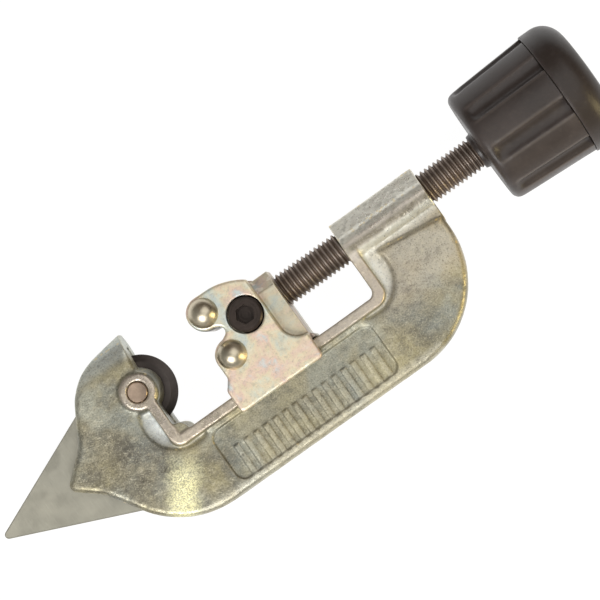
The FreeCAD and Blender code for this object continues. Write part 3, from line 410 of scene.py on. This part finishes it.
def oiled_thread():
    """Rolled thread: lighter at the crests, darker and browner in the roots, with oily patches."""
    f = Finish("oiled_thread", metallic=0.75)
    radius = f.vector("LENGTH", f.vector("MULTIPLY", f.mm, (0, 1, 1)))
    oil = f.noise(4, 4, 0.6, shift=6)
    marks = f.noise(0.4, 3, 0.7, stretch=(3, 1, 1))
    crest = f.fade(radius, THREAD_ROOT + 0.1, THREAD_CREST - 0.04)
    f.body = f.mix(crest, rgb(120, 106, 96), rgb(158, 146, 136))
    f.paint(f.fade(oil, 0.45, 0.7, 0, 0.3), 120, 100, 84)
    f.paint(f.fade(marks, 0.55, 0.8, 0, 0.3), 196, 184, 170)
    dull = f.fade(radius, THREAD_ROOT + 0.1, THREAD_CREST + 0.01, 0.52, 0.42)
    f.surface(f.math("ADD", dull, f.fade(oil, 0.4, 0.7, -0.06, 0.06)), (marks, 0.008))
    return f


# ---------------------------------------------------------------- meshes
def add_object(name, data):
    added = bpy.data.objects.new(name, data)
    bpy.context.scene.collection.objects.link(added)
    return added


def ease(values, low, high):
    """Rises smoothly from 0 to 1 as the values go from low to high, or falls if low is the larger."""
    share = np.clip((values - low) / (high - low), 0, 1)
    return share * share * (3 - 2 * share)


def read(items, attribute, columns, kind):
    """A mesh's numbers, with a row for each of the items."""
    rows = np.empty(len(items) * columns, kind)
    items.foreach_get(attribute, rows)
    return rows.reshape(-1, columns)


def put(mesh, place):
    """Moves a mesh's vertices to their places, in metres."""
    mesh.vertices.foreach_set("co", place.astype(np.float32).ravel())
    mesh.update()


def relax(place, edges, rounds, share):
    """Pulls every vertex halfway to the middle of its neighbours, or less far where its share is below 1."""
    first, second = edges.T
    count = len(place)
    valence = np.bincount(edges.ravel(), minlength=count)[:, None]
    for _ in range(rounds):
        around = np.stack([
            np.bincount(first, place[second, k], count) + np.bincount(second, place[first, k], count)
            for k in range(3)
        ], 1)
        place += (around / valence - place) * (0.5 * share)[:, None]


def waviness(point):
    """How far a cast skin swells at a place, from -1.5 to 1.5, in waves of 5 mm with finer ones on them."""
    return noise.noise(Vector(point) / 5) + 0.5 * noise.noise(Vector(point) / 1.7)


def cast_mesh(node, voxel, rounds, waves, crisp=None, melted=None, bend=None):
    """The CAD solid with its edges softened, as a casting or moulding leaves them, and a slightly wavy skin.

    voxel is the size of its faces, rounds how often they are smoothed, and waves the depth of its waviness.
    crisp and melted say, for places, where edges stay sharp and where they run together, by a share from
    0 to 1. bend moves the softened places."""
    source = bmesh.new()
    source.from_mesh(nodes[node].data)
    bmesh.ops.remove_doubles(source, verts=source.verts, dist=0.002 * MM)
    base = bpy.data.meshes.new(node + "_base")
    source.to_mesh(base)
    source.free()
    holder = add_object(node + "_holder", base)
    remesh = holder.modifiers.new("even", "REMESH")
    remesh.mode = "VOXEL"
    remesh.voxel_size = voxel * MM
    made = bpy.data.meshes.new_from_object(holder.evaluated_get(bpy.context.evaluated_depsgraph_get()))
    bpy.data.objects.remove(holder)

    place = read(made.vertices, "co", 3, np.float32).astype(float) / MM
    edges = read(made.edges, "vertices", 2, np.int32)
    relax(place, edges, rounds, 1 - crisp(*place.T) if crisp else np.ones(len(place)))
    if melted:
        relax(place, edges, MELT_ROUNDS, melted(*place.T))
    if bend:
        bend(place)
    put(made, place * MM)

    # The waves lie mostly inwards, and what still stands out of the CAD solid's box is cut back to it.
    swell = np.array([waviness(point) for point in place.tolist()]) - 1.2
    place += read(made.vertices, "normal", 3, np.float32) * (swell * waves)[:, None]
    low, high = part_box(node)
    put(made, np.clip(place * MM, np.array(low), np.array(high)))
    return made


def crescents(x, y, z):
    """Round the two crescent hollows and along the hook's bevel, where the casting's face has no edge."""
    height = np.abs(z)
    ring = np.zeros_like(x)
    for centre_x, centre_y in CRESCENT_CENTRES:
        away = np.abs(np.hypot(x - centre_x, y - centre_y) - CRESCENT_RADIUS)
        ring = np.maximum(ring, 1 - ease(away, 0.5, 3.2))
    ring = ring * ease(height, CRESCENT_FLOOR - 0.8, CRESCENT_FLOOR - 0.4)
    bevel = ease(y, 8.4, 9.4) * ease(height, PLATE - 0.8, PLATE - 0.4)
    return np.maximum(ring, bevel) * ease(height, PLATE + 0.3, PLATE)


def grip_panel(x, y, z):
    """The sunk panel and its grip bars, which keep most of their edges."""
    inside = (x > -9.5) & (x < 48) & (y > -39) & (y < -21) & (np.abs(z) > PANEL_FLOOR - 0.4)
    return inside * 0.7


def knob_seam(x, *_):
    """Where the knob and its cap meet in a thin, crisp line."""
    return ease(np.abs(x - SEAM_X), 1.6, 0.8)


def flute_ends(x, *_):
    """The knob's front shoulder, into which the flutes run out softly."""
    return ease(x, 102.4, 103.6) * ease(x, 107.5, 105.5) * 0.8


def flush_ring(place):
    """Fills out most of the cap's chamfer, so that the cap meets the knob in a fine line."""
    chamfer, filled = 0.3, 0.75
    radius = np.hypot(place[:, 1], place[:, 2])
    full = radius.max()
    missing = np.clip(chamfer - (place[:, 0] - SEAM_X), 0, chamfer) * ease(radius, full - 1.4, full - 0.4)
    place[:, 1:] *= (1 + filled * missing / np.maximum(radius, 1))[:, None]


def thread_lift(turns):
    """The thread's height, 0 at the root and 1 at the crest: both are flat, and the flanks round into them."""
    flat, rounding = 0.14, 0.35
    lift = min(1.0, max(0.0, (abs(turns % 1.0 - 0.5) * 2 - flat) / (1 - 2 * flat)))
    return lift * lift * (3 - 2 * lift) * rounding + lift * (1 - rounding)


def thread_mesh():
    """The feed screw with a real right-hand thread between its neck and the knob.

    The thread runs out at both ends, and still has a quarter of its depth where it meets the knob."""
    run_out, depth_at_knob = 1.2, 0.25
    start, stop = SCREW_HEAD[-1][0], SCREW_TAIL[0][0]
    steps = int((stop - start) / THREAD_PITCH * RINGS_PER_TURN)
    rings = [(x, [radius] * THREAD_SIDES) for x, radius in SCREW_HEAD]
    for step in range(steps + 1):
        x = start + (stop - start) * step / steps
        depth = max(0.0, min(1.0, (x - start) / run_out, (stop - x) / run_out + depth_at_knob))
        lifts = (thread_lift(x / THREAD_PITCH - side / THREAD_SIDES) for side in range(THREAD_SIDES))
        rings.append((x, [THREAD_ROOT + (THREAD_CREST - THREAD_ROOT) * lift * depth for lift in lifts]))
    rings += [(x, [radius] * THREAD_SIDES) for x, radius in SCREW_TAIL]

    verts, faces = [], []
    for x, radii in rings:
        for side, radius in enumerate(radii):
            angle = 2 * math.pi * side / THREAD_SIDES
            verts.append((x * MM, math.cos(angle) * radius * MM, math.sin(angle) * radius * MM))
    for ring in range(len(rings) - 1):
        for side in range(THREAD_SIDES):
            a, b = ring * THREAD_SIDES + side, ring * THREAD_SIDES + (side + 1) % THREAD_SIDES
            faces.append((a, b, b + THREAD_SIDES, a + THREAD_SIDES))
    mesh = bpy.data.meshes.new("feed_screw_thread")
    mesh.from_pydata(verts, [], faces)

    # The outline's first and last rings have no size, and close into points.
    closed = bmesh.new()
    closed.from_mesh(mesh)
    bmesh.ops.remove_doubles(closed, verts=closed.verts, dist=0.001 * MM)
    bmesh.ops.recalc_face_normals(closed, faces=closed.faces)
    closed.to_mesh(mesh)
    closed.free()
    return mesh


# ---------------------------------------------------------------- pieces
def dress(mesh, finish):
    mesh.materials.clear()
    mesh.materials.append(finish.material)
    mesh.shade_smooth()


def link_piece(name, mesh, finish, body, slot, *replaced):
    """A piece that rides on a body and stands for a CAD node."""
    dress(mesh, finish)
    piece = add_object(name, mesh)
    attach(piece, body)
    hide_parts(*replaced)


def finish_node(name, finish, angle=32):
    """Gives a CAD node its finish, and smooth shading between its crisp edges."""
    mesh = nodes[name].data
    dress(mesh, finish)
    mesh.set_sharp_from_angle(angle=math.radians(angle))


zinc = zinc_frame()
pale_zinc = zinc_carriage()
plastic = moulded_plastic()
link_piece(
    "frame_casting", cast_mesh("frame", voxel=0.28, rounds=5, waves=0.06, crisp=grip_panel, melted=crescents),
    zinc, "frame", "frame_zinc", "frame")
for side in ("front", "rear"):
    link_piece(
        f"carriage_{side}_casting", cast_mesh(f"carriage_{side}_half", voxel=0.22, rounds=5, waves=0.04),
        pale_zinc, "carriage", "carriage_zinc", f"carriage_{side}_half")
link_piece(
    "knob_grip", cast_mesh("knob", voxel=0.3, rounds=14, waves=0.012, crisp=knob_seam, melted=flute_ends),
    plastic, "screw", "knob_plastic", "knob")
link_piece(
    "knob_dome", cast_mesh("knob_end_cap", voxel=0.3, rounds=14, waves=0.012, crisp=knob_seam, bend=flush_ring),
    plastic, "screw", "knob_plastic", "knob_end_cap")
link_piece("threaded_screw", thread_mesh(), oiled_thread(), "screw", "screw_steel", "feed_screw")

centre = {name: (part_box(name)[0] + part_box(name)[1]) / 2 for name in nodes}
finish_node("cutting_wheel", turned_steel(
    "wheel_steel", centre["cutting_wheel"], (80, 74, 71), rough=0.38, spacing=0.35, depth=0.012,
    metallic=0.85), angle=20)
finish_node("wheel_pin", turned_steel(
    "pin_steel", centre["wheel_pin"], (172, 152, 134), rough=0.38, spacing=0.4, depth=0.015))
finish_node("reamer_blade", steel(
    "reamer_steel", (161, 158, 145), rough=0.42, metallic=0.85, spread=0.03, grain=(1, 9, 1),
    scratch=0.16, depth=0.008))
bright = steel("fastener_steel", (190, 188, 182), rough=0.3)
for name in ("reamer_pivot_screw", "reamer_spring_washer", "thrust_disc", "knob_washer", "knob_nut"):
    finish_node(name, bright)
rolled = steel("roller_steel", (150, 147, 142), rough=0.32, grain=(1, 1, 0.25))
rivets = steel("rivet_steel", (198, 188, 166), rough=0.31, metallic=1.0, spread=0.08, scratch=0.16, depth=0.006)
for side in ("upper", "lower"):
    finish_node(f"{side}_roller", rolled)
    finish_node(f"{side}_roller_rivet", rivets, angle=50)
finish_node("carriage_cap_screw", turned_steel(
    "black_steel", centre["carriage_cap_screw"], (56, 47, 42), rough=0.34, spacing=0.9, depth=0.03,
    metallic=0.6, scratch=0.35))


# ---------------------------------------------------------------- camera, floor and light
# The camera looks at AIM from DISTANCE metres away in the direction LEAN, turned by ROLL about its own
# line of sight, and shows UNITS_PER_MM of the picture's IMAGE_WIDTH for each millimetre at AIM.
IMAGE_WIDTH, UNITS_PER_MM = 600, 3.472054735013032
AIM = Vector((34.55, -5.06, 0)) * MM
LEAN = Vector((26.6, -24.24, 459)).normalized()
DISTANCE = 0.8
ROLL = math.radians(35.5)
EYE = AIM + LEAN * DISTANCE
ahead = (AIM - EYE).normalized()
level = (Vector((1, 0, 0)) - ahead * ahead.x).normalized()
upright = (-ahead).cross(level)
right = level * math.cos(ROLL) - upright * math.sin(ROLL)
up = level * math.sin(ROLL) + upright * math.cos(ROLL)
camera_data = bpy.data.cameras.new("camera")
camera_data.sensor_width = 36
camera_data.lens = UNITS_PER_MM * DISTANCE / MM / IMAGE_WIDTH * camera_data.sensor_width
camera_data.clip_start = 0.01
camera_data.clip_end = 20
camera = add_object("camera", camera_data)
camera.matrix_world = Matrix.Translation(EYE) @ Matrix((right, up, -ahead)).transposed().to_4x4()
bpy.context.scene.camera = camera


def floor_material():
    """Pale paper that glows by itself, so that shadows on it are faint, and can't be seen from below."""
    material = bpy.data.materials.new("pale_floor")
    material.use_nodes = True
    tree = material.node_tree
    tree.nodes.clear()
    new = tree.nodes.new
    output, facing = new("ShaderNodeOutputMaterial"), new("ShaderNodeNewGeometry")
    side, seen = new("ShaderNodeMixShader"), new("ShaderNodeMixShader")
    glow, paper = new("ShaderNodeEmission"), new("ShaderNodeBsdfDiffuse")
    clear = new("ShaderNodeBsdfTransparent")
    glow.inputs["Strength"].default_value = 1.1
    paper.inputs["Color"].default_value = (0.9, 0.9, 0.9, 1)
    seen.inputs["Fac"].default_value = 0.12
    tree.links.new(glow.outputs[0], seen.inputs[1])
    tree.links.new(paper.outputs[0], seen.inputs[2])
    tree.links.new(facing.outputs["Backfacing"], side.inputs["Fac"])
    tree.links.new(seen.outputs[0], side.inputs[1])
    tree.links.new(clear.outputs[0], side.inputs[2])
    tree.links.new(side.outputs[0], output.inputs["Surface"])
    return material


REACH, FLOOR_GAP = 4.0, 0.0002
floor_mesh = bpy.data.meshes.new("floor")
floor_mesh.from_pydata(
    [(-REACH, -REACH, 0), (REACH, -REACH, 0), (REACH, REACH, 0), (-REACH, REACH, 0)], [], [(0, 1, 2, 3)])
floor_mesh.materials.append(floor_material())
floor = add_object("floor", floor_mesh)
floor.location.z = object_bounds()[0].z - FLOOR_GAP


def softbox(name, direction, distance, size, watts, colour=(1, 1, 1)):
    """A rectangular lamp in a direction from the point that the camera looks at, and facing it."""
    light = bpy.data.lights.new(name, "AREA")
    light.shape = "RECTANGLE"
    light.size, light.size_y = size
    light.energy = watts
    light.color = colour
    lamp = add_object(name, light)
    lamp.location = AIM + direction.normalized() * distance
    lamp.rotation_mode = "QUATERNION"
    lamp.rotation_quaternion = direction.to_track_quat("Z", "Y")


rise = Vector((0, 0, 1))
softbox("key", rise - up * 0.75 - right * 0.15, distance=0.9, size=(0.5, 0.4), watts=5.6)
softbox("top", rise + right * 0.25 + up * 0.35, distance=1.0, size=(0.9, 0.9), watts=3.0)
softbox("warm", right + rise * 0.38 - up * 0.2, distance=0.8, size=(0.2, 0.5), watts=2.6,
        colour=(1.0, 0.83, 0.42))

# A dim room, which is darker and browner towards the top of the photograph.
world = bpy.data.worlds.new("room")
world.use_nodes = True
bpy.context.scene.world = world
tree = world.node_tree
where = tree.nodes.new("ShaderNodeTexCoord")
toward = tree.nodes.new("ShaderNodeVectorMath")
toward.operation = "DOT_PRODUCT"
toward.inputs[1].default_value = (up + right * 0.2 + rise * 0.15).normalized()
shade = tree.nodes.new("ShaderNodeValToRGB")
grey, brown = shade.color_ramp.elements
grey.position, grey.color = 0.0, (0.27, 0.27, 0.26, 1)
brown.position, brown.color = 0.75, (0.13, 0.105, 0.085, 1)
tree.links.new(where.outputs["Generated"], toward.inputs[0])
tree.links.new(toward.outputs["Value"], shade.inputs[0])
tree.links.new(shade.outputs[0], tree.nodes["Background"].inputs["Color"])
bpy.context.scene.view_settings.view_transform = "Standard"
